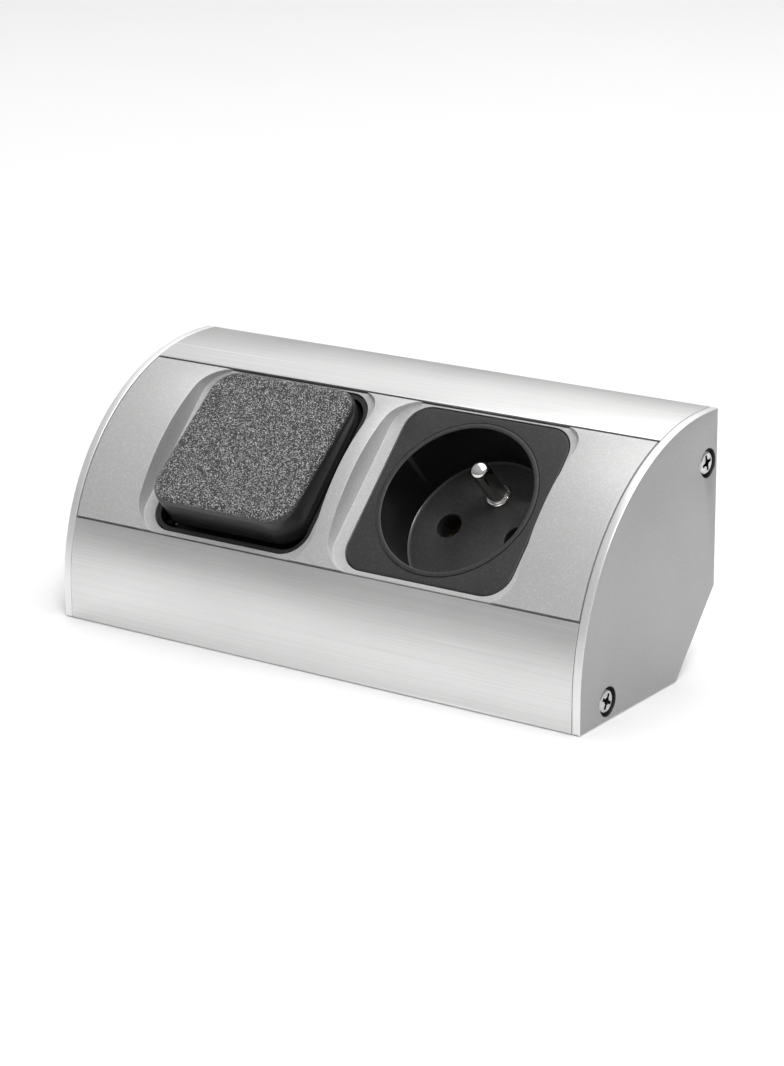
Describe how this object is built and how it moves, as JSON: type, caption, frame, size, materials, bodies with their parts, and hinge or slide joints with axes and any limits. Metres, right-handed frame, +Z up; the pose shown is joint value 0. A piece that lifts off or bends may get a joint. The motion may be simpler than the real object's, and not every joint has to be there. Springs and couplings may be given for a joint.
{
  "type": "furniture corner power unit",
  "caption": "Corner power unit for furniture: quarter-round aluminium body with end caps, a sloping panel, a rocker switch and a recessed mains socket with an earth pin.",
  "frame": {"origin": "middle of the flat base, under the centre of the unit's box", "axes": "+X along the extrusion, -Y out of the front, +Z up"},
  "size_m": [0.15, 0.0596, 0.062],
  "materials": {
    "anodised_aluminium": "satin",
    "panel_plastic": "satin metallic paint",
    "cap_aluminium": "satin",
    "socket_plastic": "fine spark texture",
    "rocker_plastic": "coarse spark texture",
    "housing_plastic": "matt",
    "nickel": "polished",
    "steel": "zinc plated",
    "brass": "plain",
    "rubber": "matt",
    "nylon": "natural",
    "wire_brown": "smooth",
    "wire_blue": "smooth",
    "wire_green_yellow": "smooth"
  },
  "bodies": {
    "housing": {"body_extrusion": "anodised_aluminium", "mid_panel": "panel_plastic", "end_cap_left": "cap_aluminium", "end_cap_right": "cap_aluminium", "cable_grommet": "rubber", "cap_screw_left_upper": "nickel", "cap_screw_left_lower": "nickel", "cap_screw_right_upper": "nickel", "cap_screw_right_lower": "nickel", "socket_front": "socket_plastic", "socket_rear_housing": "housing_plastic", "earth_pin": "nickel", "earth_strap": "brass", "contact_live": "brass", "contact_neutral": "brass", "socket_terminal_screw_live": "steel", "socket_terminal_screw_neutral": "steel", "socket_terminal_screw_earth": "steel", "switch_base": "housing_plastic", "common_contact": "brass", "output_contact": "brass", "switch_terminal_screw_feed": "steel", "switch_terminal_screw_output": "steel", "terminal_block": "nylon", "wire_live_feed": "wire_brown", "wire_live_switched": "wire_brown", "wire_neutral": "wire_blue", "wire_earth": "wire_green_yellow", "block_screw_live_unit": "steel", "block_screw_live_supply": "steel", "block_screw_neutral_unit": "steel", "block_screw_neutral_supply": "steel", "block_screw_earth_unit": "steel", "block_screw_earth_supply": "steel"},
    "rocker": {"rocker": "rocker_plastic", "rocker_pivot_pin": "steel", "switch_plunger": "nylon", "plunger_spring": "steel"},
    "contact_bridge": {"contact_bridge": "brass"}
  },
  "joints": [
    {"name": "rocker_tilt", "type": "hinge", "parent": "housing", "child": "rocker", "pos_m": [-0.0285, -0.00475, 0.03749], "axis": [1, 0, 0], "range_deg": [0, 12.6]},
    {"name": "bridge_tilt", "type": "hinge", "parent": "housing", "child": "contact_bridge", "pos_m": [-0.0285, 0.00331, 0.02943], "axis": [1, 0, 0], "range_deg": [-10, 0]}
  ],
  "couplings": [
    {"joint": "bridge_tilt", "follows": "rocker_tilt", "ratio": -0.79}
  ]
}
